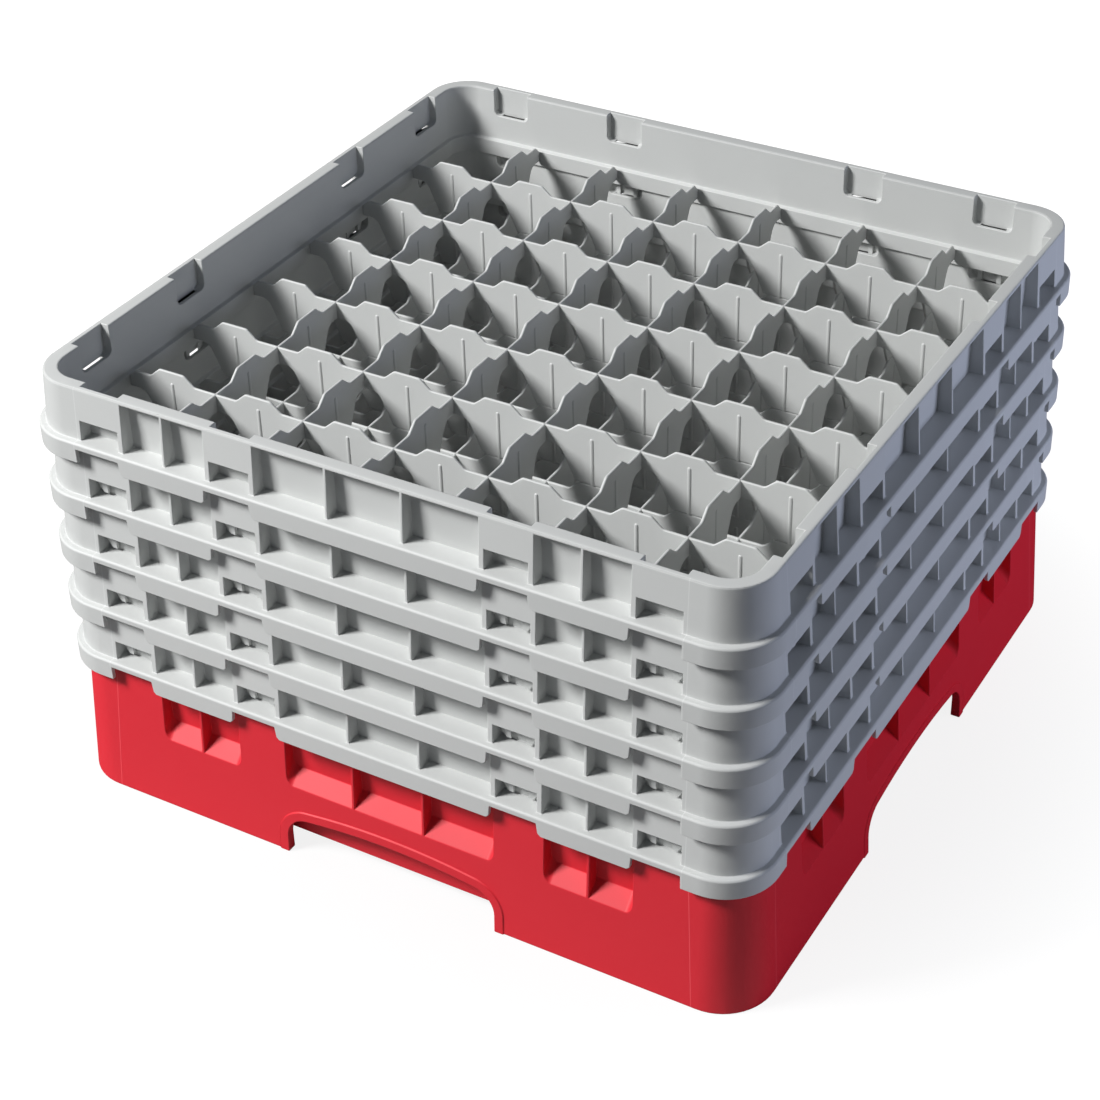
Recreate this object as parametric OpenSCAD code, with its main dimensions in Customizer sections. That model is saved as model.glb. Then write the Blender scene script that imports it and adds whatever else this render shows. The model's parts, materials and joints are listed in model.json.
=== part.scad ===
// Dishwasher glass rack: an open base rack and five extenders that stack and snap together.
// Each moulding is kept as a few simple solids: its wall frame, its two sets of dividers
// and its snap hooks. The origin is the centre of the base's footprint, +Z up.

/* [Rack] */
// Outside width and depth over the skirts
rack_w = 500; // [494:1:520]
// Outer corner radius of the skirts, seen from above
corner_r = 35; // [34:0.5:42]
// Height of the base rack up to its rim
base_h = 100; // [92:1:120]
// Height that each extender adds
extender_h = 41.3; // [40:0.1:46]

/* [Walls] */
// How far the rim stands back from the skirt
rim_setback = 7; // [6.5:0.1:8]
// How far a wall leans out from its rim to its foot
wall_flare = 2.5; // [1:0.1:3]
// Depth of the wall from the rim's outer edge to the inner face
wall_depth = 9.5; // [9:0.1:10]
// Thickness of the inner wall behind the pockets
inner_wall = 2.2; // [1.8:0.1:2.6]
// Thickness of the rim's ledge above the pockets
ledge_t = 2.4; // [1.8:0.1:3]
// Thickness of the skirt and of its tabs
skirt_t = 3; // [2.4:0.1:3.4]
// How far the skirt's tabs reach below the seat
tab_drop = 7.6; // [4:0.1:10]

/* [Bays] */
// Width of a snap bay
bay_w = 28; // [24:0.5:29]
// Distance of the inner snap bays from the middle of a side
inner_bay = 93.3; // [90:0.1:97]
// Distance of the outer snap bays from the middle of a side
outer_bay = 188.3; // [186:0.1:189]
// Width of the solid post between a bay and its pockets
post_w = 3.6; // [2:0.1:5]
// Width of the thin rib between two pockets
rib_w = 2; // [1.6:0.1:3]
// Height of a bay's window above the shelf
window_h = 13.3; // [8:0.1:16]

/* [Dividers] */
// Distance between two dividers
pitch = 65.6; // [64:0.1:66.4]
// Thickness of a divider
divider_t = 2; // [1.6:0.1:2.6]
// Height of the dividers' crossings above the extender's seat
crossing_h = 5.9; // [5:0.1:7]
// Height of the wave between two crossings
wave_h = 6.6; // [5:0.1:8]
// Depth of the solid web at each crossing
web_h = 12; // [10:0.1:14]
// Radius of the upright bead in the middle of each divider panel
bead_r = 1.7; // [1.5:0.1:2.2]

/* [Base] */
// Height of the pocket floors' front edge above the ground
base_pocket_z = 53.5; // [50:0.5:58]
// Half the width of a hand-hold
grip_half = 76.5; // [66:0.5:80]
// Height of a hand-hold in its middle
grip_h = 34; // [30:0.5:36]
// Radius of a hand-hold's upper corners
grip_round = 17; // [10:1:20]
// Width of the raised bead round a hand-hold
grip_bead = 6.5; // [4:0.5:8]
// Height of the floor grid's underside above the ground
floor_z = 8.5; // [5:0.5:9]
// Thickness of the floor grid
floor_t = 5; // [4:0.5:7]
// Number of floor openings along each side of a compartment
floor_cells = 2; // [1:1:4]

/* [Hidden] */

$fn = 96;
cells = 7;
eps = 0.01;
far = 20;

// Wall radii are measured from the axis of the corner's arcs, which lies core from the middle.
core = rack_w / 2 - corner_r;
skirt_r = corner_r;
rim_r = skirt_r - rim_setback;
face_r = rim_r + wall_flare;
inner_r = rim_r - wall_depth;
back_r = inner_r + inner_wall;
panel_r = rim_r - 3.8;
skirt_in_r = skirt_r - skirt_t;

// Heights in an extender, from the seat on the rim below
shelf_top = crossing_h + 0.5;
shelf_t = 2;
skirt_low = 1.9;
window_top = shelf_top + window_h;
bay_floor_t = 1.3;
edge = 0.8;
skirt_edge = 1.5;
edge_bulge = 0.3 * skirt_edge;

// Below the shelf the inner wall is thicker, and it ends in a flange inside the rim below
foot_r = back_r + 1;
flange_r = inner_r - 2.8;
flange_out_r = inner_r - 0.5;
flange_drop = 10.4;
flange_top = 1.6;
skin = 2.6;

// Pocket groups on each side: middle, number of pockets and overall width
side_group_w = outer_bay - inner_bay - bay_w - 2 * post_w;
middle_group_w = 2 * (inner_bay - bay_w / 2 - post_w);
groups = [
    [-(inner_bay + outer_bay) / 2, 2, side_group_w],
    [0, 3, middle_group_w],
    [(inner_bay + outer_bay) / 2, 2, side_group_w]
];
bays = [-outer_bay, -inner_bay, inner_bay, outer_bay];
column_x = outer_bay + bay_w / 2;

// Snap hooks
snap_half = 8.6;
snap_in_r = back_r + 1.1;
snap_out_r = panel_r - 0.3;
slot_half = snap_half + 0.4;
slot_in_r = snap_in_r - 0.4;
snap_tip = -(extender_h - shelf_top - 2.3);
barb_top = -(extender_h - window_top) - 0.4;

// Dividers
extender_reach = core + flange_r;
base_reach = core + inner_r;
extender_foot = wave_h - extender_h + 0.4;
base_foot = floor_z + floor_t - (base_h + crossing_h - extender_h);
end_run = 4.5;
bead_gap = 0.6;

// ---------------------------------------------------------------- general shapes

// Repeats its children on the four sides; they are drawn on the -Y side.
module on_each_side() {
    for (side = [0 : 3]) rotate(side * 90) children();
}

// A profile of [radius, height] points pushed along one side, between two places along it.
module side_run(profile, from, to) {
    translate([from, 0, 0]) rotate([90, 0, 90]) linear_extrude(to - from)
        polygon([for (p = profile) [-(core + p[0]), p[1]]]);
}

// The same profile turned round the corner at +X, -Y.
module corner_turn(profile) {
    translate([core, -core, 0]) rotate(-90) rotate_extrude(angle = 90) polygon(profile);
}

// The same profile all round the rounded square.
module ring(profile) {
    on_each_side() {
        side_run(profile, -core, core);
        corner_turn(profile);
    }
}

// A block on the -Y side, given by its ends along the side, its radii and its heights.
module side_block(x, r, z) {
    translate([x[0], -(core + r[1]), z[0]]) cube([x[1] - x[0], r[1] - r[0], z[1] - z[0]]);
}

// Left and right ends of the pockets in a group
function pocket_w(group) = (group[2] - (group[1] - 1) * rib_w) / group[1];
function pockets(group) = [
    for (i = [0 : group[1] - 1])
        let (left = group[0] - group[2] / 2 + i * (pocket_w(group) + rib_w))
            [left, left + pocket_w(group)]
];

// A recess open at the top on the inner side of a snap bay, with rounded lower corners.
module bay_notch(bay, low, high) {
    round_r = 4;
    translate([bay, -core - inner_r + 1, low]) rotate([90, 0, 0])
        linear_extrude(panel_r - inner_r + 1) union() {
            translate([-bay_w / 2, round_r]) square([bay_w, high - low - round_r]);
            translate([-bay_w / 2 + round_r, 0]) square([bay_w - 2 * round_r, round_r + eps]);
            for (s = [-1, 1]) translate([s * (bay_w / 2 - round_r), round_r]) circle(round_r);
        }
}

// ---------------------------------------------------------------- extender

// Wall section of an extender: rim, leaning outer face, shelf, skirt, foot and inner flange
extender_profile = [
    [inner_r, extender_h - edge], [inner_r + edge, extender_h],
    [rim_r - edge, extender_h], [rim_r, extender_h - edge],
    [face_r, shelf_top], [skirt_r - skirt_edge, shelf_top],
    [skirt_r - edge_bulge, shelf_top - edge_bulge], [skirt_r, shelf_top - skirt_edge],
    [skirt_r, skirt_low], [skirt_in_r, skirt_low], [skirt_in_r, shelf_top - shelf_t],
    [foot_r, shelf_top - shelf_t], [foot_r, 0], [flange_out_r, 0],
    [flange_out_r, -flange_drop], [flange_r, -flange_drop], [flange_r, flange_top],
    [inner_r, flange_top + edge]
];

// Hollow inside a corner column, open downwards
column_profile = [
    [foot_r, -eps], [face_r - skin + edge, -eps], [face_r - skin, shelf_top],
    [rim_r - skin, extender_h - ledge_t], [foot_r, extender_h - ledge_t]
];

// A tab of the skirt, with its lower corners cut off
module skirt_tab(middle, width) {
    cut = 2;
    low_half = width / 2 - edge;
    translate([middle, -core - skirt_in_r, 0]) rotate([90, 0, 0]) linear_extrude(skirt_t)
        polygon([
            [-width / 2, skirt_low], [-low_half, cut - tab_drop], [cut - low_half, -tab_drop],
            [low_half - cut, -tab_drop], [low_half, cut - tab_drop], [width / 2, skirt_low]
        ]);
}

corner_tab_profile = [
    [skirt_in_r, skirt_low], [skirt_in_r, -tab_drop], [skirt_r, -tab_drop], [skirt_r, skirt_low]
];

module extender_frame() {
    difference() {
        ring(extender_profile);
        on_each_side() {
            for (group = groups) for (p = pockets(group)) {
                side_block(p, [back_r, skirt_r + far], [shelf_top, extender_h - ledge_t]);
            }
            for (bay = bays) {
                side_block([bay - bay_w / 2, bay + bay_w / 2], [back_r, skirt_r + far],
                    [shelf_top, window_top]);
                bay_notch(bay, window_top + bay_floor_t, extender_h + eps);
                side_block([bay - slot_half, bay + slot_half],
                    [slot_in_r, panel_r], [window_top - eps, window_top + bay_floor_t + eps]);
            }
            corner_turn(column_profile);
        }
    }
    on_each_side() {
        for (group = groups) skirt_tab(group[0], group[2] + post_w);
        side_run(corner_tab_profile, column_x + post_w / 2, core);
        side_run(corner_tab_profile, -core, -column_x - post_w / 2);
        corner_turn(corner_tab_profile);
    }
}

// One snap: two springy legs with barbs, which hold below the floor of the bay underneath
module snap() {
    root = shelf_top - shelf_t;
    leg_in = 5.3;
    bridge_low = -6;
    barb = 3.7;
    barb_h = 5;
    half = [
        [0, root], [snap_half, root], [snap_half, barb_top], [snap_half + barb, barb_top],
        [snap_half + barb, barb_top - barb_h], [snap_half, snap_tip], [leg_in, snap_tip],
        [leg_in, bridge_low], [0, bridge_low]
    ];
    for (s = [0, 1]) mirror([s, 0]) polygon(half);
}

module extender_snaps() {
    on_each_side() for (bay = bays) {
        translate([bay, -core - snap_in_r, 0]) rotate([90, 0, 0])
            linear_extrude(snap_out_r - snap_in_r) snap();
    }
}

// ---------------------------------------------------------------- dividers

// The wave has a flat crown and two straight slopes, with round shoulders between them.
wave_half = 17;
wave_slope = 41;
shoulder_r = 3.5;
shoulder_run = shoulder_r * tan(wave_slope / 2);
crown_end = [wave_half - wave_h / tan(wave_slope) - shoulder_run, wave_h];
shoulder_mid = crown_end - [0, shoulder_r];
slope_top = shoulder_mid + 0.98 * shoulder_r * [sin(wave_slope), cos(wave_slope)];

// One wave above the middle of a panel, at the height of the crossings
module wave() {
    polygon([
        [-wave_half, -1], [-wave_half, 0], mirrored(slope_top), mirrored(crown_end),
        crown_end, slope_top, [wave_half, 0], [wave_half, -1]
    ]);
    for (s = [0, 1]) mirror([s, 0]) translate(shoulder_mid) circle(shoulder_r);
}

function mirrored(point) = [-point[0], point[1]];

// The opening below a crossing, with a flat top, round corners, leaning sides and, in the
// deep dividers of the base, upright sides below those
arch_r = 7.5;
arch_flat = 5.5;
arch_lean = 66;
arch_side = [arch_flat + arch_r * sin(arch_lean), -web_h - arch_r * (1 - cos(arch_lean))];
arch_foot = [arch_side[0] + (arch_side[1] - extender_foot) / tan(arch_lean), extender_foot];

module arch() {
    low = [arch_foot[0], arch_foot[1] - base_h];
    polygon([
        mirrored(low), mirrored(arch_foot), mirrored(arch_side), [-arch_flat, -web_h],
        [arch_flat, -web_h], arch_side, arch_foot, low
    ]);
    for (s = [-1, 1]) translate([s * arch_flat, -web_h - arch_r]) circle(arch_r);
}

// Outline of a whole divider, along the rack and up from its crossings. The panels reach down
// to foot_low. Long dividers are slotted from above, cross dividers from below.
module divider_outline(foot_low, reach, slot_from_above) {
    slot_low = slot_from_above ? -web_h / 2 : -web_h - 1;
    slot_high = slot_from_above ? 1 : -web_h / 2;
    difference() {
        union() {
            translate([-reach, foot_low]) square([2 * reach, -foot_low]);
            for (i = [0 : cells - 1]) translate([(i - (cells - 1) / 2) * pitch, 0]) wave();
        }
        for (i = [0 : cells]) translate([(i - cells / 2) * pitch, 0]) {
            arch();
            if (i > 0 && i < cells)
                translate([-divider_t / 2, slot_low]) square([divider_t, slot_high - slot_low]);
        }
        for (s = [0, 1]) mirror([s, 0]) polygon([
            [reach + 1, -end_run - 1], [reach + 1, 1], [reach - end_run, 1], [reach - end_run, 0]
        ]);
    }
}

// One divider along X, with a round bead up the middle of each panel
module divider(foot_low, reach, slot_from_above) {
    rotate([90, 0, 0]) translate([0, 0, -divider_t / 2]) linear_extrude(divider_t)
        divider_outline(foot_low, reach, slot_from_above);
    for (i = [0 : cells - 1]) translate([(i - (cells - 1) / 2) * pitch, 0, foot_low])
        cylinder(h = -foot_low - bead_gap, r = bead_r);
}

module long_dividers(foot_low, reach) {
    for (j = [1 : cells - 1]) translate([0, (j - cells / 2) * pitch, crossing_h])
        divider(foot_low, reach, true);
}

module cross_dividers(foot_low, reach) {
    for (i = [1 : cells - 1]) translate([(i - cells / 2) * pitch, 0, crossing_h])
        rotate(90) divider(foot_low, reach, false);
}

// ---------------------------------------------------------------- base rack

// Radius of the base's outer face at a height
function base_face(z) = skirt_r - rim_setback * z / base_h;

base_back_r = back_r + 0.6;
base_hollow_top = base_pocket_z - 9;
base_profile = [
    [inner_r, floor_z], [inner_r, base_h - edge], [inner_r + edge, base_h],
    [rim_r - edge, base_h], [base_face(base_h - edge), base_h - edge],
    [base_face(edge), edge], [skirt_r - edge, 0], [skirt_r - skin, 0],
    [base_face(base_hollow_top) - skin, base_hollow_top],
    [base_back_r, base_hollow_top], [base_back_r, floor_z]
];

// Hollow inside a corner column of the base
base_column_profile = [
    [base_back_r, base_hollow_top - 1], [base_face(base_hollow_top) - skin, base_hollow_top - 1],
    [rim_r - skin, base_h - ledge_t], [base_back_r, base_h - ledge_t]
];

// A group of pockets in the base: the floors slope down to the outside, and the group's two
// lower corners are round.
module base_pockets(group) {
    rise = 9.6;
    round_r = 5;
    left = group[0] - group[2] / 2;
    slope = atan2(rise, base_face(base_pocket_z) - base_back_r);
    intersection() {
        union() for (p = pockets(group)) {
            side_block(p, [base_back_r, skirt_r + far], [base_pocket_z - far, base_h - ledge_t]);
        }
        translate([left, -core - base_face(base_pocket_z), base_pocket_z]) rotate([90 + slope, 0, 0])
            linear_extrude(4 * far, center = true) union() {
                translate([0, round_r]) square([group[2], base_h]);
                translate([round_r, 0]) square([group[2] - 2 * round_r, round_r + eps]);
                for (x = [round_r, group[2] - round_r]) translate([x, round_r]) circle(round_r);
            }
    }
}

// A hand-hold has a shallow arch on top, which runs smoothly into its round corners.
crown_r = 446;
crown_mid = [0, grip_h - crown_r];
crown_span = grip_half - grip_round;
corner_rise = sqrt(pow(crown_r - grip_round, 2) - pow(crown_span, 2)) + 0.05;
grip_corner = crown_mid + [crown_span, corner_rise];

// Outline of a hand-hold, grown by a margin
module grip_outline(margin) {
    half = grip_half + margin;
    wedge = crown_mid + 1.2 * (grip_corner - crown_mid);
    translate([-half, -far]) square([2 * half, grip_corner[1] + far]);
    for (s = [0, 1]) mirror([s, 0]) translate(grip_corner) circle(grip_round + margin);
    intersection() {
        translate(crown_mid) circle(crown_r + margin, $fn = 720);
        polygon([crown_mid, wedge, mirrored(wedge)]);
    }
}

module grip_cut(margin, from_r) {
    translate([0, -core - from_r, 0]) rotate([90, 0, 0]) linear_extrude(far) grip_outline(margin);
}

// The bead round each hand-hold stands a little proud of the skirt and thickens its edge inwards.
grip_in_r = back_r + 5;
bead_in_r = back_r + 8;
bead_proud = 1.2;
bead_profile = [
    [bead_in_r, 0], [skirt_r + bead_proud - edge, 0],
    [base_face(base_hollow_top) + bead_proud, base_hollow_top], [bead_in_r, base_hollow_top]
];

module base_walls() {
    bay_low = base_h - extender_h + window_top + bay_floor_t;
    difference() {
        union() {
            ring(base_profile);
            on_each_side() intersection() {
                side_run(bead_profile, -grip_half - far, grip_half + far);
                grip_cut(grip_bead, bead_in_r);
            }
        }
        on_each_side() {
            for (group = groups) base_pockets(group);
            for (bay = bays) {
                bay_notch(bay, bay_low, base_h + eps);
                side_block([bay - slot_half, bay + slot_half], [slot_in_r, panel_r],
                    [bay_low - bay_floor_t - eps, bay_low + eps]);
                side_block([bay - bay_w / 2, bay + bay_w / 2], [base_back_r, panel_r],
                    [base_hollow_top - 1, bay_low - bay_floor_t]);
            }
            corner_turn(base_column_profile);
            grip_cut(0, grip_in_r);
        }
    }
}

module base_floor() {
    cell = pitch / floor_cells;
    rib = 2.6;
    half = core + inner_r;
    n = cells * floor_cells;
    translate([0, 0, floor_z]) linear_extrude(floor_t) difference() {
        union() {
            square([2 * half, 2 * core], center = true);
            square([2 * core, 2 * half], center = true);
            for (a = [-1, 1]) for (b = [-1, 1]) translate([a * core, b * core]) circle(inner_r);
        }
        for (i = [0 : n - 1]) for (j = [0 : n - 1]) {
            translate([(i - (n - 1) / 2) * cell, (j - (n - 1) / 2) * cell])
                square(cell - rib, center = true);
        }
    }
}

// ---------------------------------------------------------------- assembly

// Places an extender: number 1 sits on the base, each further one on the one below.
module at_extender(n) {
    translate([0, 0, base_h + (n - 1) * extender_h]) children();
}

module extender_long_dividers() {
    long_dividers(extender_foot, extender_reach);
}

module extender_cross_dividers() {
    cross_dividers(extender_foot, extender_reach);
}

// The base's dividers cross as far below its rim as an extender's do below the next seat.
module base_long_dividers() {
    at_extender(0) long_dividers(base_foot, base_reach);
}

module base_cross_dividers() {
    at_extender(0) cross_dividers(base_foot, base_reach);
}

module grey() {
    color([0.72, 0.73, 0.72]) children();
}

module red() {
    color([0.78, 0.09, 0.16]) children();
}

red() base_walls();
red() base_floor();
red() base_long_dividers();
red() base_cross_dividers();

grey() at_extender(1) extender_frame();  // extender_1_frame
grey() at_extender(1) extender_long_dividers();  // extender_1_long_dividers
grey() at_extender(1) extender_cross_dividers();  // extender_1_cross_dividers
grey() at_extender(1) extender_snaps();  // extender_1_snaps

grey() at_extender(2) extender_frame();  // extender_2_frame
grey() at_extender(2) extender_long_dividers();  // extender_2_long_dividers
grey() at_extender(2) extender_cross_dividers();  // extender_2_cross_dividers
grey() at_extender(2) extender_snaps();  // extender_2_snaps

grey() at_extender(3) extender_frame();  // extender_3_frame
grey() at_extender(3) extender_long_dividers();  // extender_3_long_dividers
grey() at_extender(3) extender_cross_dividers();  // extender_3_cross_dividers
grey() at_extender(3) extender_snaps();  // extender_3_snaps

grey() at_extender(4) extender_frame();  // extender_4_frame
grey() at_extender(4) extender_long_dividers();  // extender_4_long_dividers
grey() at_extender(4) extender_cross_dividers();  // extender_4_cross_dividers
grey() at_extender(4) extender_snaps();  // extender_4_snaps

grey() at_extender(5) extender_frame();  // extender_5_frame
grey() at_extender(5) extender_long_dividers();  // extender_5_long_dividers
grey() at_extender(5) extender_cross_dividers();  // extender_5_cross_dividers
grey() at_extender(5) extender_snaps();  // extender_5_snaps
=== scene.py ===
"""Dishwasher glass rack in a studio: a red base and five grey extenders with wavy dividers.

The walls take their shape from the frame and get rounded edges. The dividers, the snap
hooks and the floor grid are drawn once each and repeated by Geometry Nodes.
"""
import json
import math

import bmesh
import bpy
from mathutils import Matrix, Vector

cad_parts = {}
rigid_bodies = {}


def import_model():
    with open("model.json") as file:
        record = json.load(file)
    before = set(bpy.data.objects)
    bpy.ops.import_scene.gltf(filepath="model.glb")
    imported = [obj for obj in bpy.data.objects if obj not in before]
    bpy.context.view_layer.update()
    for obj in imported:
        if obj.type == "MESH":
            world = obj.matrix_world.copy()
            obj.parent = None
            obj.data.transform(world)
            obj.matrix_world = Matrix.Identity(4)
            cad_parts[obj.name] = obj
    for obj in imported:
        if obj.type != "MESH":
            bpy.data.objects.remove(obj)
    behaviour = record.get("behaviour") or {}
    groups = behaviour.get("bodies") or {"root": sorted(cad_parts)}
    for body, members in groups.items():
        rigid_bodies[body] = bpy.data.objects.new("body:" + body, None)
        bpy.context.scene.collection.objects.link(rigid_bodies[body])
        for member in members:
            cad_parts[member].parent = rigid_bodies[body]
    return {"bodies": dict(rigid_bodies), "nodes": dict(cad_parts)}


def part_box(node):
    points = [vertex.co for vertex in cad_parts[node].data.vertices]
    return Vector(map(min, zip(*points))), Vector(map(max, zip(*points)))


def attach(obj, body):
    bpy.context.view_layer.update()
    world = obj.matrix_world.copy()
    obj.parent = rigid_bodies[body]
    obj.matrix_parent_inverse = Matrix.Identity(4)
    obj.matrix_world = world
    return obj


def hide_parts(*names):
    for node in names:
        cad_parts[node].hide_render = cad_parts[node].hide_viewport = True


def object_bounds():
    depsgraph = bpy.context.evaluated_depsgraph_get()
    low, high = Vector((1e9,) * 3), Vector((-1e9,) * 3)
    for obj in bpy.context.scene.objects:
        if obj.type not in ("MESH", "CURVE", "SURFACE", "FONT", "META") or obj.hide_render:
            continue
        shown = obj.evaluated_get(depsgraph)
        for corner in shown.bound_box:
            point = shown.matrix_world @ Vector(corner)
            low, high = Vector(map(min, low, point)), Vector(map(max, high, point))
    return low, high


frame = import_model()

bl_info = {
    "name": "Dishwasher glass rack",
    "version": (1, 0, 0),
    "blender": (4, 5, 0),
    "location": "3D View > Sidebar > Glass Rack",
    "description": "Builds a dishwasher glass rack with stacked extenders and its studio",
    "category": "Add Mesh",
}

MM = 0.001
EXTENDERS = [name for name in frame["bodies"] if name != "base"]
CAD_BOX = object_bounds()
CROSSING_H = 5.9 * MM   # height of a divider's crossings above the seats of the snap hooks
RIB_RADIUS = 1.7 * MM   # middle ribs, which stand out past the plates in the dividers' box
RIB_TOP = -0.6 * MM     # the ribs end just below the level of the crossings
RIB_FOOT = 0.1 * MM     # and start this much above the dividers' feet
BAR_T = 2.6 * MM        # thickness of a floor bar
BAR_ROUND = 1.0 * MM    # radius of its edges
BAR_DROP = 0.15 * MM    # the second row of floor bars lies this much lower than the first
SIDES = 4
QUARTER_TURN = (0, 0, math.pi / 2)

# How the walls' meshes are joined up and rounded
WELD = 2e-6                     # corners nearer than this are one
FLAT = math.radians(0.5)        # faces that meet at less than this are one
SHARP = math.radians(25)        # edges sharper than this are rounded
LEVEL = 0.9                     # faces whose normal has a Z beyond this are level
RING_CORNERS = 40               # level faces with more corners run right round the wall

# Studio
FLOOR_HALF = 12.0
KEY_PLACE, KEY_SIZE = (-1.66, -1.66, 2.18), (0.84, 0.84)
FILL_PLACE, FILL_SIZE = (1.08, 0.34, 0.22), (0.6, 0.6)
FILL_COLOR = (0.66, 0.72, 0.94)
SKY_COLOR = (0.78, 0.86, 1.0, 1)


# ---------------------------------------------------------------- sizes read from the frame

def box_of(node):
    """Lowest and highest corner of a node."""
    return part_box(node)


def pitch_between_dividers():
    """Distance between two dividers, from the box round one row of them."""
    low, high = box_of("extender_1_long_dividers")
    gaps = bpy.context.scene.rack_sizes.cells - 2
    return (high.y - low.y - 2 * RIB_RADIUS) / gaps


class RackSizes(bpy.types.PropertyGroup):
    """Sizes of the mouldings that the frame leaves plain"""
    cells: bpy.props.IntProperty(
        name="Cells", description="Compartments along each side", default=7, min=3)
    plate_t: bpy.props.FloatProperty(
        name="Divider thickness", description="Thickness of a divider",
        default=2.0 * MM, unit="LENGTH")
    plate_round: bpy.props.FloatProperty(
        name="Divider edge", description="Radius of a divider's rounded edges",
        default=0.8 * MM, unit="LENGTH")
    wall_round: bpy.props.FloatProperty(
        name="Wall edge", description="Width of the rounding on the walls' edges",
        default=0.6 * MM, unit="LENGTH")
    hook_round: bpy.props.FloatProperty(
        name="Hook edge", description="Width of the rounding on the snap hooks",
        default=0.25 * MM, unit="LENGTH")
    wave_h: bpy.props.FloatProperty(
        name="Wave height", description="Height of a divider's crown above its crossings",
        default=6.6 * MM, unit="LENGTH")
    web_h: bpy.props.FloatProperty(
        name="Web depth", description="Depth of the solid web at a crossing",
        default=12.0 * MM, unit="LENGTH")
    inner_bay: bpy.props.FloatProperty(
        name="Inner bay", description="Distance of the inner snap bays from a side's middle",
        default=93.3 * MM, unit="LENGTH")
    outer_bay: bpy.props.FloatProperty(
        name="Outer bay", description="Distance of the outer snap bays from a side's middle",
        default=188.3 * MM, unit="LENGTH")
    hook_t: bpy.props.FloatProperty(
        name="Hook thickness", description="Thickness of a snap hook",
        default=2.1 * MM, unit="LENGTH")


class RackFinish(bpy.types.PropertyGroup):
    """Colours and surface of the mouldings"""
    grey: bpy.props.FloatVectorProperty(
        name="Grey", description="Colour of the extenders", subtype="COLOR",
        size=3, min=0, max=1, default=(0.58, 0.59, 0.58))
    red: bpy.props.FloatVectorProperty(
        name="Red", description="Colour of the base", subtype="COLOR",
        size=3, min=0, max=1, default=(0.72, 0.019, 0.034))
    roughness: bpy.props.FloatProperty(
        name="Roughness", description="Mean roughness of the moulded surface",
        default=0.55, min=0, max=1, subtype="FACTOR")


class StudioSettings(bpy.types.PropertyGroup):
    """Camera and lights of the studio"""
    lens: bpy.props.FloatProperty(
        name="Lens", description="Focal length of the camera in millimetres", default=77.4)
    place: bpy.props.FloatVectorProperty(
        name="Camera place", description="Where the camera stands", subtype="TRANSLATION",
        size=3, default=(0.657, -1.1326, 1.0308))
    turn: bpy.props.FloatVectorProperty(
        name="Camera turn", description="The camera's turn about X, Y and Z", subtype="EULER",
        size=3, default=tuple(math.radians(a) for a in (55.4, 0.711, 28.948)))
    shift: bpy.props.FloatVectorProperty(
        name="Camera shift", description="Sideways and upward shift of the frame",
        size=2, default=(-0.05, -0.025))
    key_power: bpy.props.FloatProperty(
        name="Key light", description="Power of the large light at the front left", default=128.0)
    fill_power: bpy.props.FloatProperty(
        name="Fill light", description="Power of the bluish card at the right", default=6.6)


# ---------------------------------------------------------------- shader groups

def group_socket(group, name, kind, way, default=None):
    socket = group.interface.new_socket(name=name, in_out=way, socket_type=kind)
    if default is not None:
        socket.default_value = default


def shader_node(tree, kind, inputs=(), **settings):
    """A new node with its settings and with values in the inputs that get no link."""
    node = tree.nodes.new(f"ShaderNode{kind}")
    for name, value in settings.items():
        setattr(node, name, value)
    for name, value in dict(inputs).items():
        node.inputs[name].default_value = value
    return node


def link_chain(tree, *pairs):
    for start, end in pairs:
        tree.links.new(start, end)


def moulded_grain():
    """Fine matt grain of a moulded wall: a height for Bump and a roughness."""
    group = bpy.data.node_groups.new("moulded_grain", "ShaderNodeTree")
    group_socket(group, "Grain Size", "NodeSocketFloat", "INPUT", 1400.0)
    group_socket(group, "Roughness", "NodeSocketFloat", "INPUT", 0.42)
    group_socket(group, "Variation", "NodeSocketFloat", "INPUT", 0.08)
    group_socket(group, "Height", "NodeSocketFloat", "OUTPUT")
    group_socket(group, "Roughness", "NodeSocketFloat", "OUTPUT")
    given = group.nodes.new("NodeGroupInput")
    out = group.nodes.new("NodeGroupOutput")
    place = shader_node(group, "TexCoord")
    fine = shader_node(group, "TexNoise", {"Detail": 3.0, "Roughness": 0.6})
    broad = shader_node(group, "TexNoise", {"Scale": 14.0, "Detail": 4.0})
    spread = shader_node(group, "Math", {1: 0.5}, operation="SUBTRACT")
    scaled = shader_node(group, "Math", operation="MULTIPLY_ADD")
    link_chain(
        group,
        (place.outputs["Object"], fine.inputs["Vector"]),
        (given.outputs["Grain Size"], fine.inputs["Scale"]),
        (place.outputs["Object"], broad.inputs["Vector"]),
        (broad.outputs["Fac"], spread.inputs[0]),
        (spread.outputs["Value"], scaled.inputs[0]),
        (given.outputs["Variation"], scaled.inputs[1]),
        (given.outputs["Roughness"], scaled.inputs[2]),
        (fine.outputs["Fac"], out.inputs["Height"]),
        (scaled.outputs["Value"], out.inputs["Roughness"]))
    return group


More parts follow.
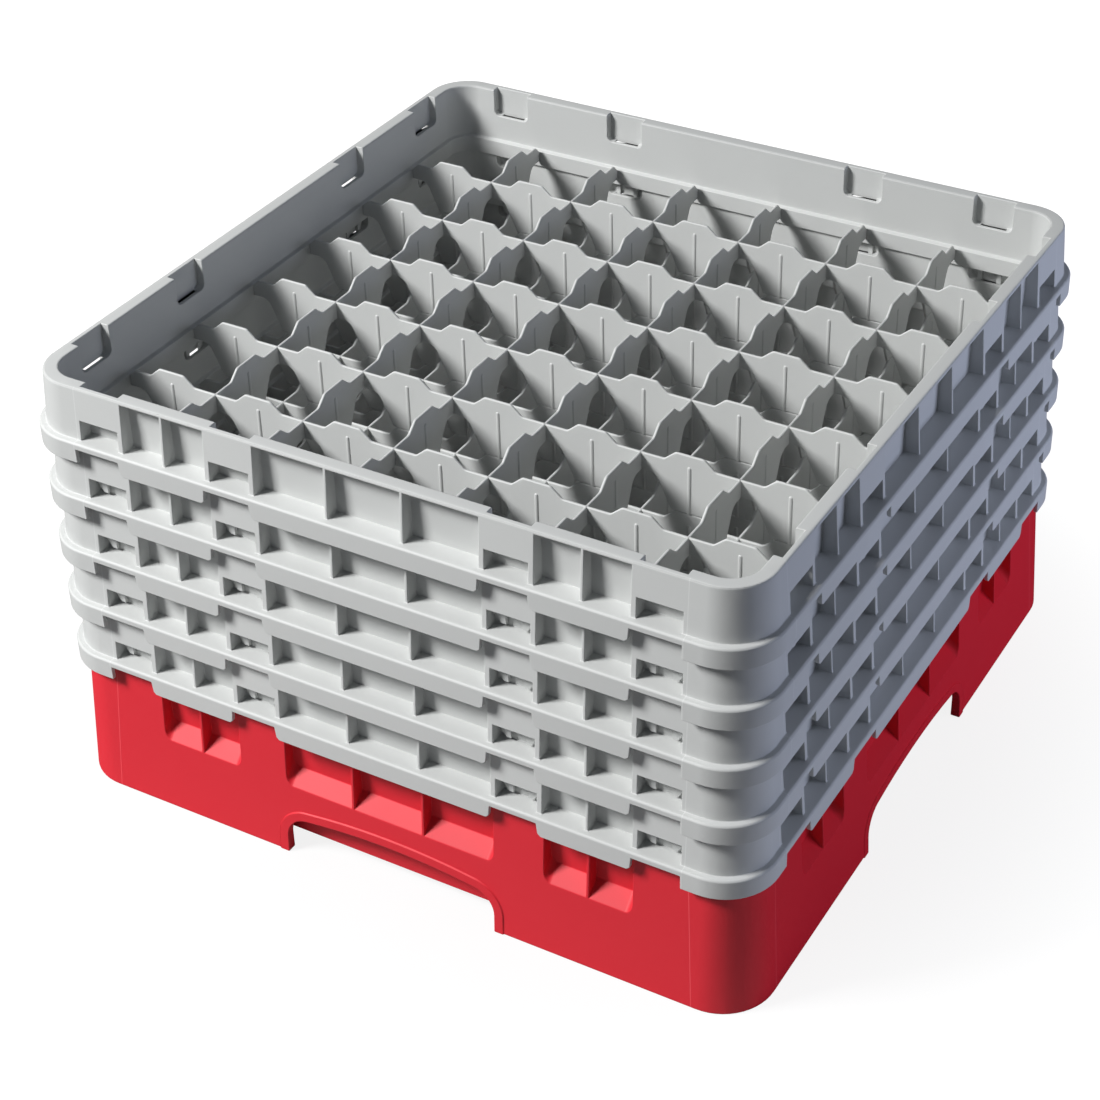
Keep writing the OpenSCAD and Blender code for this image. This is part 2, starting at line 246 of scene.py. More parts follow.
def handling_marks():
    """Faint cloudiness and scuffs of a moulding in use, as a colour."""
    group = bpy.data.node_groups.new("handling_marks", "ShaderNodeTree")
    group_socket(group, "Color", "NodeSocketColor", "INPUT", (0.5, 0.5, 0.5, 1))
    group_socket(group, "Scuff Color", "NodeSocketColor", "INPUT", (0.8, 0.8, 0.8, 1))
    group_socket(group, "Amount", "NodeSocketFloat", "INPUT", 0.1)
    group_socket(group, "Color", "NodeSocketColor", "OUTPUT")
    given = group.nodes.new("NodeGroupInput")
    out = group.nodes.new("NodeGroupOutput")
    place = shader_node(group, "TexCoord")
    stretch = shader_node(group, "Mapping", {"Scale": (30.0, 30.0, 90.0)})
    cloud = shader_node(group, "TexNoise", {"Scale": 1.0, "Detail": 6.0, "Roughness": 0.65})
    ramp = shader_node(group, "MapRange", {"From Min": 0.5, "From Max": 0.8},
                       interpolation_type="SMOOTHSTEP")
    strength = shader_node(group, "Math", operation="MULTIPLY")
    mix = shader_node(group, "Mix", data_type="RGBA")
    link_chain(
        group,
        (place.outputs["Object"], stretch.inputs["Vector"]),
        (stretch.outputs["Vector"], cloud.inputs["Vector"]),
        (cloud.outputs["Fac"], ramp.inputs["Value"]),
        (ramp.outputs["Result"], strength.inputs[0]),
        (given.outputs["Amount"], strength.inputs[1]),
        (strength.outputs["Value"], mix.inputs["Factor"]),
        (given.outputs["Color"], mix.inputs["A"]),
        (given.outputs["Scuff Color"], mix.inputs["B"]),
        (mix.outputs["Result"], out.inputs["Color"]))
    return group


def parting_lines():
    """Mask of the fine upright lines where the mould's corners meet its sides, along which a paler
    colour paints the highlight that their small ridge catches.

    The lines stand at Distance from the middle of a side and drift inwards by Lean for every
    metre of height. Only what lies further out than Outside shows them."""
    group = bpy.data.node_groups.new("parting_lines", "ShaderNodeTree")
    group_socket(group, "Distance", "NodeSocketFloat", "INPUT", 205 * MM)
    group_socket(group, "Lean", "NodeSocketFloat", "INPUT", 0.0)
    group_socket(group, "Half Width", "NodeSocketFloat", "INPUT", 0.3 * MM)
    group_socket(group, "Outside", "NodeSocketFloat", "INPUT", 241.5 * MM)
    group_socket(group, "Mask", "NodeSocketFloat", "OUTPUT")
    given = group.nodes.new("NodeGroupInput")
    out = group.nodes.new("NodeGroupOutput")
    place = shader_node(group, "TexCoord")
    size = shader_node(group, "VectorMath", operation="ABSOLUTE")
    parts = shader_node(group, "SeparateXYZ")
    height = shader_node(group, "SeparateXYZ")
    lean = shader_node(group, "Math", operation="MULTIPLY")
    either = shader_node(group, "Math", operation="MAXIMUM")
    link_chain(
        group,
        (place.outputs["Object"], size.inputs[0]),
        (size.outputs["Vector"], parts.inputs["Vector"]),
        (place.outputs["Object"], height.inputs["Vector"]),
        (height.outputs["Z"], lean.inputs[0]),
        (given.outputs["Lean"], lean.inputs[1]))
    for slot, (along, across) in enumerate((("X", "Y"), ("Y", "X"))):
        leant = shader_node(group, "Math", operation="ADD")
        near = shader_node(group, "Math", operation="COMPARE")
        outer = shader_node(group, "Math", operation="GREATER_THAN")
        both = shader_node(group, "Math", operation="MULTIPLY")
        link_chain(
            group,
            (parts.outputs[along], leant.inputs[0]),
            (lean.outputs["Value"], leant.inputs[1]),
            (leant.outputs["Value"], near.inputs[0]),
            (given.outputs["Distance"], near.inputs[1]),
            (given.outputs["Half Width"], near.inputs[2]),
            (parts.outputs[across], outer.inputs[0]),
            (given.outputs["Outside"], outer.inputs[1]),
            (near.outputs["Value"], both.inputs[0]),
            (outer.outputs["Value"], both.inputs[1]),
            (both.outputs["Value"], either.inputs[slot]))
    link_chain(group, (either.outputs["Value"], out.inputs["Mask"]))
    return group


def shared_group(build):
    """The shader group that build makes, made once for all materials."""
    return bpy.data.node_groups.get(build.__name__) or build()


def plastic(name, color, scuff, edge, line, roughness):
    """Satin moulded polypropylene.

    The colours are those of the surface, its scuffs and the painted highlight along its parting
    lines (edge), and line holds the parting lines' distance from the middle of a side and their
    lean."""
    found = bpy.data.materials.get(name)
    if found:
        return found
    material = bpy.data.materials.new(name)
    material.use_nodes = True
    tree = material.node_tree
    shader = tree.nodes["Principled BSDF"]
    grain = shader_node(tree, "Group", {"Roughness": roughness},
                        node_tree=shared_group(moulded_grain))
    marks = shader_node(tree, "Group", {"Color": (*color, 1), "Scuff Color": (*scuff, 1)},
                        node_tree=shared_group(handling_marks))
    # The parting lines' mask mixes in the edge colour: a painted highlight standing in for the
    # light that catches their small ridge
    lines = shader_node(tree, "Group", {"Distance": line[0], "Lean": line[1]},
                        node_tree=shared_group(parting_lines))
    line_highlight_mix = shader_node(tree, "Mix", {"B": (*edge, 1)}, data_type="RGBA")
    bump = shader_node(tree, "Bump", {"Strength": 0.12, "Distance": 0.1 * MM})
    link_chain(
        tree,
        (grain.outputs["Height"], bump.inputs["Height"]),
        (bump.outputs["Normal"], shader.inputs["Normal"]),
        (grain.outputs["Roughness"], shader.inputs["Roughness"]),
        (lines.outputs["Mask"], line_highlight_mix.inputs["Factor"]),
        (marks.outputs["Color"], line_highlight_mix.inputs["A"]),
        (line_highlight_mix.outputs["Result"], shader.inputs["Base Color"]))
    shader.inputs["IOR"].default_value = 1.49
    return material


def grey_plastic():
    finish = bpy.context.scene.rack_finish
    # edge is the colour of the painted highlight along the parting lines
    return plastic(
        "grey_polypropylene", finish.grey, scuff=(0.62, 0.63, 0.62), edge=(0.65, 0.66, 0.65),
        line=(205 * MM, 0.0), roughness=finish.roughness)


def red_plastic():
    finish = bpy.context.scene.rack_finish
    # edge is the colour of the painted highlight along the parting lines
    return plastic(
        "red_polypropylene", finish.red, scuff=(0.74, 0.027, 0.046), edge=(0.84, 0.07, 0.09),
        line=(212 * MM, 0.06), roughness=finish.roughness)


# ---------------------------------------------------------------- pieces

def new_object(name, mesh):
    made = bpy.data.objects.new(name, mesh)
    bpy.context.scene.collection.objects.link(made)
    return made


def applied(made):
    """Turns an object's modifiers into its own plain mesh."""
    graph = bpy.context.evaluated_depsgraph_get()
    mesh = bpy.data.meshes.new_from_object(made.evaluated_get(graph), depsgraph=graph)
    made.modifiers.clear()
    old = made.data
    made.data = mesh
    mesh.name = made.name
    bpy.data.meshes.remove(old)
    return made


def weighted(made):
    """Smooth shading that leaves the large faces flat."""
    made.data.shade_smooth()
    normals = made.modifiers.new("normals", "WEIGHTED_NORMAL")
    normals.weight = 50
    return applied(made)


def fit_out(made, body, slot, *nodes):
    """Hands a finished piece to the frame."""
    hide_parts(*nodes)
    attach(made, body)


def plate_mesh(name, outline, thickness, radius, steps=3):
    """A plate in the XZ plane with round edges, from a closed outline of (x, z) points."""
    count = len(outline)
    inward = []
    for i in range(count):
        before, here, after = outline[i - 1], outline[i], outline[(i + 1) % count]
        a = (Vector(here) - Vector(before)).normalized()
        b = (Vector(after) - Vector(here)).normalized()
        normal = Vector((a.y + b.y, -a.x - b.x)).normalized()
        # The limit keeps sharp corners from reaching far in
        mitre = max(0.4, normal.dot(Vector((a.y, -a.x))))
        inward.append(-normal / mitre)
    angles = [math.pi / 2 * k / steps for k in range(steps, -1, -1)]
    rings = [(radius * (1 - math.cos(t)), thickness / 2 - radius * (1 - math.sin(t)))
             for t in angles]
    rings += [(inset, -y) for inset, y in reversed(rings)]
    shape = bmesh.new()
    loops = []
    for inset, y in rings:
        loops.append([shape.verts.new((p[0] + n.x * inset, y, p[1] + n.y * inset))
                      for p, n in zip(outline, inward)])
    for near, far in zip(loops, loops[1:]):
        for i in range(count):
            j = (i + 1) % count
            shape.faces.new((near[i], far[i], far[j], near[j]))
    caps = [shape.faces.new(loops[0]), shape.faces.new(reversed(loops[-1]))]
    shape.normal_update()
    bmesh.ops.triangulate(shape, faces=caps)
    bmesh.ops.recalc_face_normals(shape, faces=shape.faces)
    mesh = bpy.data.meshes.new(name)
    shape.to_mesh(mesh)
    shape.free()
    return mesh


def arc(centre, radius, start, end, steps):
    """Points on an arc, with angles measured from straight up towards +X."""
    turns = [start + (end - start) * k / steps for k in range(steps + 1)]
    return [(centre[0] + radius * math.sin(t), centre[1] + radius * math.cos(t)) for t in turns]


def half_wave(wave_h):
    """Upper edge of a panel from its middle to the flat over a crossing."""
    bend_r, slope, half = 3.5 * MM, math.radians(41), 18.3 * MM
    straight = (wave_h - 2 * bend_r * (1 - math.cos(slope))) / math.tan(slope)
    run = straight + 2 * bend_r * math.sin(slope)
    shoulder = (half - run, wave_h - bend_r)
    hollow = (half, bend_r)
    return ([(0, wave_h)]
            + arc(shoulder, bend_r, 0, slope, 5)
            + arc(hollow, bend_r, math.pi + slope, math.pi, 5))


def half_arch(web_h, upright, foot):
    """Lower edge of a divider from under a crossing to the foot of the next panel.

    The sides lean down to the height upright and go straight down from there to the foot."""
    radius, flat, lean = 7.5 * MM, 5.5 * MM, math.radians(66)
    bend = arc((flat, -web_h - radius), radius, 0, lean, 6)
    side = bend[-1]
    low = (side[0] + (side[1] - upright) / math.tan(lean), upright)
    points = [(0, -web_h)] + bend + [low]
    if foot < upright - 0.1 * MM:
        points.append((low[0], foot))
    return points


def divider_outline(cells, pitch, reach, wave, arch):
    """Closed outline of one divider, up from its crossings, against the clock."""
    end_run = 4.5 * MM
    web_low = arch[0][1]
    top = []
    for i in range(cells):
        middle = (i - (cells - 1) / 2) * pitch
        top += [(middle - u, z) for u, z in reversed(wave[1:])]
        top += [(middle + u, z) for u, z in wave]
    top = [(-reach, -end_run), (end_run - reach, 0), *top, (reach - end_run, 0), (reach, -end_run)]
    low = []
    for i in range(cells + 1):
        crossing = (i - cells / 2) * pitch
        points = [(crossing - u, z) for u, z in reversed(arch[1:])]
        points += [(crossing + u, z) for u, z in arch]
        low += [p for p in points if abs(p[0]) < reach]
    low = [(-reach, web_low)] + low + [(reach, web_low)]
    return low + list(reversed(top))


def hook_outline(root, tip):
    """Closed outline of a snap hook with two barbed legs, up from the seat, against the clock."""
    half, leg_in, barb, barb_h = 8.6 * MM, 5.3 * MM, 3.7 * MM, 5 * MM
    bridge = -6 * MM
    barb_low = tip + 5.6 * MM
    right = [(leg_in, bridge), (leg_in, tip), (half, tip), (half + barb, barb_low),
             (half + barb, barb_low + barb_h), (half, barb_low + barb_h), (half, root)]
    return right + [(-x, z) for x, z in reversed(right)]


def rib_mesh(name, radius, low, high, sides=14):
    """An upright round rib with a domed top."""
    shape = bmesh.new()
    dome = [(share, high - drop * radius) for share, drop in ((1.0, 0.9), (0.85, 0.4), (0.5, 0.1))]
    loops = []
    for share, z in [(1.0, low)] + dome:
        loops.append([shape.verts.new((radius * share * math.cos(2 * math.pi * k / sides),
                                       radius * share * math.sin(2 * math.pi * k / sides), z))
                      for k in range(sides)])
    for lower, upper in zip(loops, loops[1:]):
        for k in range(sides):
            shape.faces.new((lower[k], lower[(k + 1) % sides], upper[(k + 1) % sides], upper[k]))
    tip = shape.verts.new((0, 0, high))
    for k in range(sides):
        shape.faces.new((loops[-1][k], loops[-1][(k + 1) % sides], tip))
    shape.faces.new(list(reversed(loops[0])))
    mesh = bpy.data.meshes.new(name)
    shape.to_mesh(mesh)
    shape.free()
    return mesh


# ---------------------------------------------------------------- geometry node trees

def fed(tree, node, values):
    """A node with values or links in its first inputs."""
    for socket, value in zip(node.inputs, values):
        if isinstance(value, (int, float)):
            socket.default_value = value
        else:
            tree.links.new(value, socket)
    return node


def math_node(tree, operation, first, second):
    node = shader_node(tree, "Math", operation=operation)
    return fed(tree, node, (first, second)).outputs["Value"]


def vector_of(tree, x=0.0, y=0.0, z=0.0):
    return fed(tree, shader_node(tree, "CombineXYZ"), (x, y, z)).outputs["Vector"]


def row_of_points(tree, count, step, axis):
    """Points in a row about the origin, step apart along X or Y."""
    line = tree.nodes.new("GeometryNodeMeshLine")
    line.mode = "OFFSET"
    gaps = math_node(tree, "SUBTRACT", count, 1)
    start = math_node(tree, "MULTIPLY", math_node(tree, "MULTIPLY", gaps, step), -0.5)
    tree.links.new(count, line.inputs["Count"])
    tree.links.new(vector_of(tree, **{axis: start}), line.inputs["Start Location"])
    tree.links.new(vector_of(tree, **{axis: step}), line.inputs["Offset"])
    return line.outputs["Mesh"]


def on_points(tree, points, instance):
    node = tree.nodes.new("GeometryNodeInstanceOnPoints")
    tree.links.new(points, node.inputs["Points"])
    tree.links.new(instance, node.inputs["Instance"])
    return node


def joined(tree, *parts):
    node = tree.nodes.new("GeometryNodeJoinGeometry")
    for part in parts:
        tree.links.new(part, node.inputs["Geometry"])
    return node.outputs["Geometry"]


def moved(tree, geometry, place=None, turn=None):
    node = tree.nodes.new("GeometryNodeTransform")
    tree.links.new(geometry, node.inputs["Geometry"])
    if place is not None:
        tree.links.new(place, node.inputs["Translation"])
    if turn is not None:
        node.inputs["Rotation"].default_value = turn
    return node.outputs["Geometry"]


def finish_tree(tree, geometry, material):
    """Every tree ends in plain geometry that carries its material."""
    real = tree.nodes.new("GeometryNodeRealizeInstances")
    paint = tree.nodes.new("GeometryNodeSetMaterial")
    out = tree.nodes.new("NodeGroupOutput")
    tree.links.new(geometry, real.inputs["Geometry"])
    tree.links.new(real.outputs["Geometry"], paint.inputs["Geometry"])
    tree.links.new(material, paint.inputs["Material"])
    tree.links.new(paint.outputs["Geometry"], out.inputs["Geometry"])
    return tree


def new_tree(name, **inputs):
    """A tree with geometry in and out, a material, and float inputs with their defaults."""
    tree = bpy.data.node_groups.new(name, "GeometryNodeTree")
    for way in ("OUTPUT", "INPUT"):
        group_socket(tree, "Geometry", "NodeSocketGeometry", way)
    for label, default in inputs.items():
        group_socket(tree, label.replace("_", " "), "NodeSocketFloat", "INPUT", default)
    group_socket(tree, "Material", "NodeSocketMaterial", "INPUT")
    return tree


def lattice_tree():
    """Ribs on a divider, dividers in a row, and the same row again across the first."""
    tree = new_tree("divider_lattice", Pitch=65.6 * MM, Crossing_Height=0.0)
    group_socket(tree, "Rib", "NodeSocketObject", "INPUT")
    group_socket(tree, "Cells", "NodeSocketInt", "INPUT", 7)
    given = tree.nodes.new("NodeGroupInput").outputs
    rib = tree.nodes.new("GeometryNodeObjectInfo")
    tree.links.new(given["Rib"], rib.inputs["Object"])
    middles = row_of_points(tree, given["Cells"], given["Pitch"], "x")
    ribs = on_points(tree, middles, rib.outputs["Geometry"])
    divider = joined(tree, given["Geometry"], ribs.outputs["Instances"])
    plates = math_node(tree, "SUBTRACT", given["Cells"], 1)
    places = row_of_points(tree, plates, given["Pitch"], "y")
    row = on_points(tree, places, divider).outputs["Instances"]
    crossing = moved(tree, row, turn=QUARTER_TURN)
    level = vector_of(tree, z=given["Crossing Height"])
    lattice = moved(tree, joined(tree, row, crossing), place=level)
    return finish_tree(tree, lattice, given["Material"])


def hooks_tree():
    """A hook in each of a side's four bays, and the same on the other three sides."""
    tree = new_tree("hooks_on_sides", Inner_Bay=93.3 * MM, Outer_Bay=188.3 * MM,
                    Distance=0.0, Seat_Height=0.0)
    given = tree.nodes.new("NodeGroupInput").outputs
    pairs = []
    two = tree.nodes.new("FunctionNodeInputInt")
    two.integer = 2
    for bay in ("Inner Bay", "Outer Bay"):
        gap = math_node(tree, "MULTIPLY", given[bay], 2)
        pairs.append(row_of_points(tree, two.outputs["Integer"], gap, "x"))
    row = on_points(tree, joined(tree, *pairs), given["Geometry"]).outputs["Instances"]
    outward = math_node(tree, "MULTIPLY", given["Distance"], -1)
    side = moved(tree, row, place=vector_of(tree, y=outward, z=given["Seat Height"]))
    centre = tree.nodes.new("GeometryNodeMeshLine")
    centre.inputs["Count"].default_value = SIDES
    centre.inputs["Offset"].default_value = (0, 0, 0)
    around = on_points(tree, centre.outputs["Mesh"], side)
    index = tree.nodes.new("GeometryNodeInputIndex").outputs["Index"]
    angle = math_node(tree, "MULTIPLY", index, 2 * math.pi / SIDES)
    tree.links.new(vector_of(tree, z=angle), around.inputs["Rotation"])
    return finish_tree(tree, around.outputs["Instances"], given["Material"])


def grid_tree():
    """Bars in a row, and the same row again across the first."""
    tree = new_tree("floor_grid", Step=32.8 * MM, Height=0.0)
    group_socket(tree, "Bars", "NodeSocketInt", "INPUT", 15)
    given = tree.nodes.new("NodeGroupInput").outputs
    places = row_of_points(tree, given["Bars"], given["Step"], "y")
    bars = on_points(tree, places, given["Geometry"]).outputs["Instances"]
    across = moved(tree, bars, place=vector_of(tree, z=-BAR_DROP), turn=QUARTER_TURN)
    grid = moved(tree, joined(tree, bars, across), place=vector_of(tree, z=given["Height"]))
    return finish_tree(tree, grid, given["Material"])


def through_nodes(made, build, **values):
    """Runs an object's mesh through a tree and keeps the result as its mesh."""
    name = build.__name__
    tree = bpy.data.node_groups.get(name) or build()
    tree.name = name
    modifier = made.modifiers.new("repeat", "NODES")
    modifier.node_group = tree
    sockets = {item.name: item.identifier for item in tree.interface.items_tree
               if item.in_out == "INPUT"}
    for label, value in values.items():
        modifier[sockets[label.replace("_", " ")]] = value
    made.data.update()
    applied(made)


# ---------------------------------------------------------------- makers

def wall_piece(name, body, node, material, slot):
    """A copy of a wall node with its faces joined up and its edges rounded.

    Level faces that run right round the wall are open in the middle, and are cut into
    triangles before the rounding, which can't keep them open. The rounding swells some
    corners a little, so they are held inside the node's box."""
    shape = bmesh.new()
    shape.from_mesh(frame["nodes"][node].data)
    bmesh.ops.remove_doubles(shape, verts=shape.verts, dist=WELD)
    bmesh.ops.dissolve_limit(shape, angle_limit=FLAT, verts=shape.verts, edges=shape.edges)
    shape.normal_update()
    rings = [face for face in shape.faces
             if abs(face.normal.z) > LEVEL and len(face.verts) > RING_CORNERS]
    bmesh.ops.triangulate(shape, faces=rings)
    mesh = bpy.data.meshes.new(name)
    shape.to_mesh(mesh)
    shape.free()
    made = new_object(name, mesh)
    bevel = made.modifiers.new("edges", "BEVEL")
    bevel.width = bpy.context.scene.rack_sizes.wall_round
    bevel.segments = 2
    bevel.limit_method = "ANGLE"
    bevel.angle_limit = SHARP
    bevel.use_clamp_overlap = False
    weighted(applied(made))
    low, high = box_of(node)
    for point in made.data.vertices:
        for axis in range(2):
            point.co[axis] = min(max(point.co[axis], low[axis]), high[axis])
    made.data.materials.clear()
    made.data.materials.append(material)
    fit_out(made, body, slot, node)


def levels_of(body):
    """Height of a moulding's crossings, and how far its dividers reach below them."""
    low, high = box_of(f"{body}_long_dividers")
    crossing = high.z - bpy.context.scene.rack_sizes.wave_h
    return crossing, low.z - crossing


def lattice_piece(body, material, slot):
    """The crossing dividers of one moulding."""
    name = f"{body}_lattice"
    sizes = bpy.context.scene.rack_sizes
    node = f"{body}_long_dividers"
    crossing, foot = levels_of(body)
    upright = levels_of(EXTENDERS[0])[1]
    pitch = pitch_between_dividers()
    outline = divider_outline(sizes.cells, pitch, box_of(node)[1].x, half_wave(sizes.wave_h),
                              half_arch(sizes.web_h, upright, foot))
    plate = plate_mesh(name, outline, sizes.plate_t, sizes.plate_round)
    rib = new_object(f"{name}_rib", rib_mesh(f"{name}_rib", RIB_RADIUS, foot + RIB_FOOT, RIB_TOP))
    made = new_object(name, plate)
    through_nodes(made, lattice_tree, Rib=rib, Cells=sizes.cells, Pitch=pitch,
                  Crossing_Height=crossing, Material=material)
    bpy.data.objects.remove(rib)
    weighted(made)
    fit_out(made, body, slot, node, f"{body}_cross_dividers")


def hook_piece(body):
    """The sixteen snap hooks of one extender."""
    name = f"{body}_hooks"
    sizes = bpy.context.scene.rack_sizes
    node = f"{body}_snaps"
    low, high = box_of(node)
    seat = levels_of(body)[0] - CROSSING_H
    outline = hook_outline(high.z - seat, low.z - seat)
    made = new_object(name, plate_mesh(name, outline, sizes.hook_t, sizes.hook_round))
    through_nodes(made, hooks_tree, Inner_Bay=sizes.inner_bay, Outer_Bay=sizes.outer_bay,
                  Distance=high.x - sizes.hook_t / 2, Seat_Height=seat, Material=grey_plastic())
    weighted(made)
    fit_out(made, body, "grey_plastic", node)


class RACK_OT_base_walls(bpy.types.Operator):
    """Base walls with pockets, hand-holds and rounded edges"""
    bl_idname = "rack.base_walls"
    bl_label = "Base walls"

    def execute(self, context):
        wall_piece("base_wall_shell", "base", "base_walls", red_plastic(), "red_plastic")
        return {"FINISHED"}


class RACK_OT_base_lattice(bpy.types.Operator):
    """Deep dividers of the base"""
    bl_idname = "rack.base_lattice"
    bl_label = "Base dividers"

    def execute(self, context):
        lattice_piece("base", red_plastic(), "red_plastic")
        return {"FINISHED"}


class RACK_OT_base_floor(bpy.types.Operator):
    """Open floor grid of the base"""
    bl_idname = "rack.base_floor"
    bl_label = "Base floor"

    def execute(self, context):
        low, high = box_of("base_floor")
        bars = 2 * context.scene.rack_sizes.cells + 1
        step = pitch_between_dividers() / 2
        deep = high.z - low.z - 2 * BAR_DROP
        half = high.x
        side = [(-half, 0), (half, 0), (half, deep), (-half, deep)]
        bar = plate_mesh("base_floor_grid", side, BAR_T, BAR_ROUND)
        made = new_object("base_floor_grid", bar)
        through_nodes(made, grid_tree, Bars=bars, Step=step, Height=low.z + BAR_DROP,
                      Material=red_plastic())
        weighted(made)
        fit_out(made, "base", "red_plastic", "base_floor")
        return {"FINISHED"}


class RACK_OT_extender_walls(bpy.types.Operator):
    """Walls of the five extenders"""
    bl_idname = "rack.extender_walls"
    bl_label = "Extender walls"

    def execute(self, context):
        for body in EXTENDERS:
            wall_piece(f"{body}_wall", body, f"{body}_frame", grey_plastic(), "grey_plastic")
        return {"FINISHED"}


class RACK_OT_extender_lattices(bpy.types.Operator):
    """Wavy dividers of the five extenders"""
    bl_idname = "rack.extender_lattices"
    bl_label = "Extender dividers"

    def execute(self, context):
        for body in EXTENDERS:
            lattice_piece(body, grey_plastic(), "grey_plastic")
        return {"FINISHED"}


class RACK_OT_extender_hooks(bpy.types.Operator):
    """Snap hooks of the five extenders"""
    bl_idname = "rack.extender_hooks"
    bl_label = "Extender hooks"

    def execute(self, context):
        for body in EXTENDERS:
            hook_piece(body)
        return {"FINISHED"}


# ---------------------------------------------------------------- studio

def floor_material():
    """Pale floor that keeps a soft shadow near the rack and is plain white further off."""
    material = bpy.data.materials.new("studio_floor")
    material.use_nodes = True
    tree = material.node_tree
    tree.nodes.clear()
    out = shader_node(tree, "OutputMaterial")
    matt = shader_node(tree, "BsdfDiffuse")
    white = shader_node(tree, "Emission", {"Strength": 1.15})
    path = shader_node(tree, "LightPath")
    place = shader_node(tree, "TexCoord")
    away = shader_node(tree, "VectorMath", operation="LENGTH")
    pale = shader_node(tree, "MapRange", {"From Min": 0.3, "From Max": 0.9,
                                          "To Min": 0.5, "To Max": 0.1})
    fade = shader_node(tree, "MapRange", {"From Min": 0.25, "From Max": 0.6, "To Min": 0.75},
                       interpolation_type="SMOOTHSTEP")
    share = shader_node(tree, "Math", operation="MULTIPLY")
    dull = shader_node(tree, "MapRange", {"To Min": 1.0, "To Max": 0.1})
    tone = shader_node(tree, "Math", operation="MULTIPLY")
    mix = shader_node(tree, "MixShader")
    link_chain(
        tree,
        (place.outputs["Object"], away.inputs[0]),
        (away.outputs["Value"], pale.inputs["Value"]),
        (path.outputs["Is Glossy Ray"], dull.inputs["Value"]),
        (pale.outputs["Result"], tone.inputs[0]),
        (dull.outputs["Result"], tone.inputs[1]),
        (tone.outputs["Value"], matt.inputs["Color"]),
        (away.outputs["Value"], fade.inputs["Value"]),
        (path.outputs["Is Camera Ray"], share.inputs[0]),
        (fade.outputs["Result"], share.inputs[1]),
        (share.outputs["Value"], mix.inputs["Fac"]),
        (matt.outputs["BSDF"], mix.inputs[1]),
        (white.outputs["Emission"], mix.inputs[2]),
        (mix.outputs["Shader"], out.inputs["Surface"]))
    return material


def studio_world():
    """Dim even daylight, which shows white to the camera and hardly shines on glossy faces."""
    world = bpy.data.worlds.new("studio")
    world.use_nodes = True
    tree = world.node_tree
    tree.nodes.clear()
    out = shader_node(tree, "OutputWorld")
    light = shader_node(tree, "Background", {"Color": SKY_COLOR})
    white = shader_node(tree, "Background")
    path = shader_node(tree, "LightPath")
    glow = shader_node(tree, "MapRange", {"To Min": 0.08, "To Max": 0.01})
    seen = shader_node(tree, "Math", operation="MAXIMUM")
    mix = shader_node(tree, "MixShader")
    link_chain(
        tree,
        (path.outputs["Is Camera Ray"], seen.inputs[0]),
        (path.outputs["Is Transmission Ray"], seen.inputs[1]),
        (path.outputs["Is Glossy Ray"], glow.inputs["Value"]),
        (glow.outputs["Result"], light.inputs["Strength"]),
        (seen.outputs["Value"], mix.inputs["Fac"]),
        (light.outputs["Background"], mix.inputs[1]),
        (white.outputs["Background"], mix.inputs[2]),
        (mix.outputs["Shader"], out.inputs["Surface"]))
    bpy.context.scene.world = world


def soft_light(name, place, aim, size, power, color=(1, 1, 1)):
    """A rectangular light that shines at a point and isn't seen itself."""
    data = bpy.data.lights.new(name, "AREA")
    data.shape = "RECTANGLE"
    data.size, data.size_y = size
    data.energy = power
    data.color = color
    lamp = new_object(name, data)
    lamp.location = place
    lamp.visible_camera = False
    lamp.rotation_euler = (Vector(aim) - Vector(place)).to_track_quat("-Z", "Y").to_euler()
    return lamp


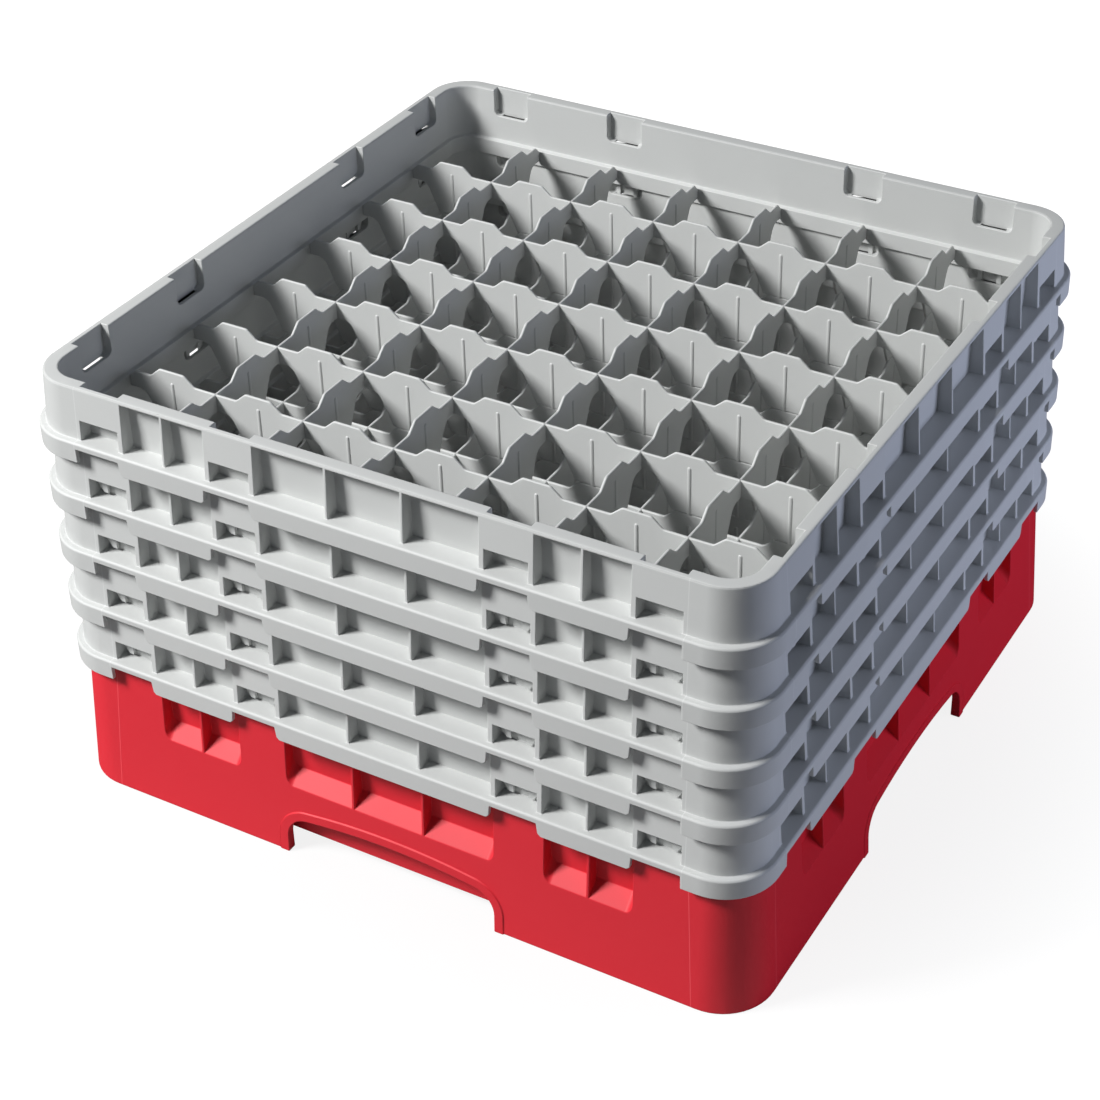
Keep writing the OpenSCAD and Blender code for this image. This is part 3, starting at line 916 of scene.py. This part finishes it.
class RACK_OT_stage(bpy.types.Operator):
    """Floor, world, lights and camera"""
    bl_idname = "rack.stage"
    bl_label = "Studio"

    def execute(self, context):
        settings = context.scene.studio_settings
        low, high = CAD_BOX
        middle = (low + high) / 2
        mesh = bpy.data.meshes.new("studio_floor")
        corners = [(x * FLOOR_HALF, y * FLOOR_HALF, low.z)
                   for x, y in ((-1, -1), (1, -1), (1, 1), (-1, 1))]
        mesh.from_pydata(corners, [], [(0, 1, 2, 3)])
        mesh.materials.append(floor_material())
        new_object("studio_floor", mesh)
        studio_world()
        soft_light("key_light", KEY_PLACE, middle, KEY_SIZE, settings.key_power)
        fill = soft_light("fill_light", FILL_PLACE, middle, FILL_SIZE, settings.fill_power,
                          FILL_COLOR)
        fill.visible_glossy = False
        data = bpy.data.cameras.new("camera")
        data.lens = settings.lens
        data.shift_x, data.shift_y = settings.shift
        camera = new_object("camera", data)
        camera.location = settings.place
        camera.rotation_euler = settings.turn
        context.scene.camera = camera
        context.scene.view_settings.view_transform = "Standard"
        return {"FINISHED"}


class RACK_PT_panel(bpy.types.Panel):
    """Sizes, finish and builders of the glass rack"""
    bl_idname = "RACK_PT_panel"
    bl_label = "Glass Rack"
    bl_space_type = "VIEW_3D"
    bl_region_type = "UI"
    bl_category = "Glass Rack"

    def draw(self, context):
        for group in (getattr(context.scene, name) for name in GROUPS):
            for key in group.bl_rna.properties.keys():
                if key not in ("rna_type", "name"):
                    self.layout.prop(group, key)
        for operator in OPERATORS:
            self.layout.operator(operator.bl_idname)


GROUPS = {"rack_sizes": RackSizes, "rack_finish": RackFinish, "studio_settings": StudioSettings}
OPERATORS = (
    RACK_OT_stage, RACK_OT_base_walls, RACK_OT_base_lattice, RACK_OT_base_floor,
    RACK_OT_extender_walls, RACK_OT_extender_lattices, RACK_OT_extender_hooks)


def register():
    for made in (*GROUPS.values(), *OPERATORS, RACK_PT_panel):
        bpy.utils.register_class(made)
    for name, group in GROUPS.items():
        setattr(bpy.types.Scene, name, bpy.props.PointerProperty(type=group))


def unregister():
    for name in GROUPS:
        delattr(bpy.types.Scene, name)
    for made in reversed((*GROUPS.values(), *OPERATORS, RACK_PT_panel)):
        bpy.utils.unregister_class(made)


def main():
    register()
    bpy.ops.rack.stage()
    bpy.ops.rack.base_walls()
    bpy.ops.rack.base_lattice()
    bpy.ops.rack.base_floor()
    bpy.ops.rack.extender_walls()
    bpy.ops.rack.extender_lattices()
    bpy.ops.rack.extender_hooks()


if __name__ == "__main__":
    main()
